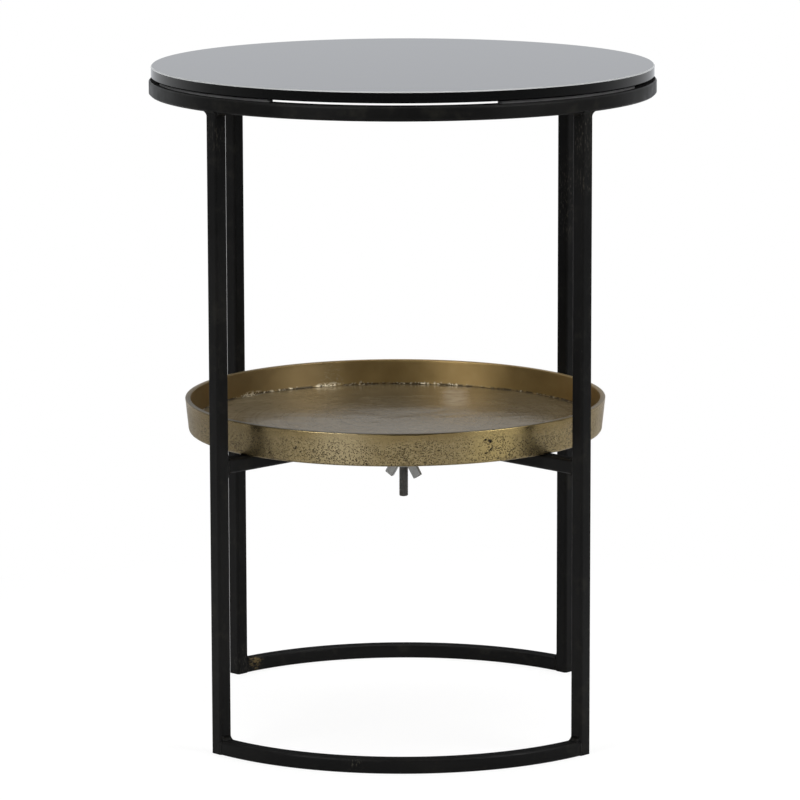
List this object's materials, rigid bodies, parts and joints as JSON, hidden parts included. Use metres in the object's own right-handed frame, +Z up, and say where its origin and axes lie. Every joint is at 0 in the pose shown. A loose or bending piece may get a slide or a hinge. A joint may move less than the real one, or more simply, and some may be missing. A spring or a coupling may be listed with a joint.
{
  "type": "tiered side table",
  "caption": "Round side table with a black glass top on a slim welded square-bar frame and a cast antique brass tray on a cross of bars below, held by a stud and wing nut.",
  "frame": {"origin": "on the floor, under the centre of the frame", "axes": "+Z up, -Y to the front, where one base arc joins the two front legs, +X to the right"},
  "size_m": [0.4499, 0.45, 0.59],
  "materials": {
    "black_glass": "opaque black glass, polished, with a ground and polished edge",
    "black_frame": "satin black coat on iron bar, a little rubbed and scuffed",
    "pad_rubber": "dark grey rubber strip",
    "antique_brass": "rough sand casting with an antique brass finish",
    "stud_steel": "darkened steel stud",
    "zinc_steel": "zinc plated"
  },
  "bodies": {
    "frame": {"top_ring": "black_frame", "front_left_leg": "black_frame", "front_right_leg": "black_frame", "back_right_leg": "black_frame", "back_left_leg": "black_frame", "front_base_arc": "black_frame", "back_base_arc": "black_frame", "long_cross_bar": "black_frame", "front_right_half_cross_bar": "black_frame", "back_left_half_cross_bar": "black_frame", "ring_welds": "black_frame", "cross_welds": "black_frame", "base_welds": "black_frame", "centre_welds": "black_frame", "front_left_pad": "pad_rubber", "front_right_pad": "pad_rubber", "back_right_pad": "pad_rubber", "back_left_pad": "pad_rubber"},
    "glass": {"glass_top": "black_glass"},
    "tray": {"tray": "antique_brass", "tray_stud": "stud_steel"},
    "washer": {"washer": "zinc_steel"},
    "wing_nut": {"wing_nut": "zinc_steel"}
  },
  "joints": [
    {"name": "glass_lift", "type": "slide", "parent": "frame", "child": "glass", "axis": [0, 0, 1], "range_m": [0, 0.1]},
    {"name": "tray_turn", "type": "hinge", "parent": "frame", "child": "tray", "pos_m": [0, 0.00858, 0.2617], "axis": [0, 0, 1], "continuous": true},
    {"name": "washer_slide", "type": "slide", "parent": "tray", "child": "washer", "axis": [0, 0, 1], "range_m": [-0.0274, 0.0124]},
    {"name": "nut_turn", "type": "hinge", "parent": "washer", "child": "wing_nut", "pos_m": [0, 0.00858, 0.2349], "axis": [0, 0, 1], "range_deg": [-7890, 3571]}
  ],
  "couplings": [
    {"joint": "washer_slide", "follows": "nut_turn", "m_per_rad": 0.00019894}
  ]
}
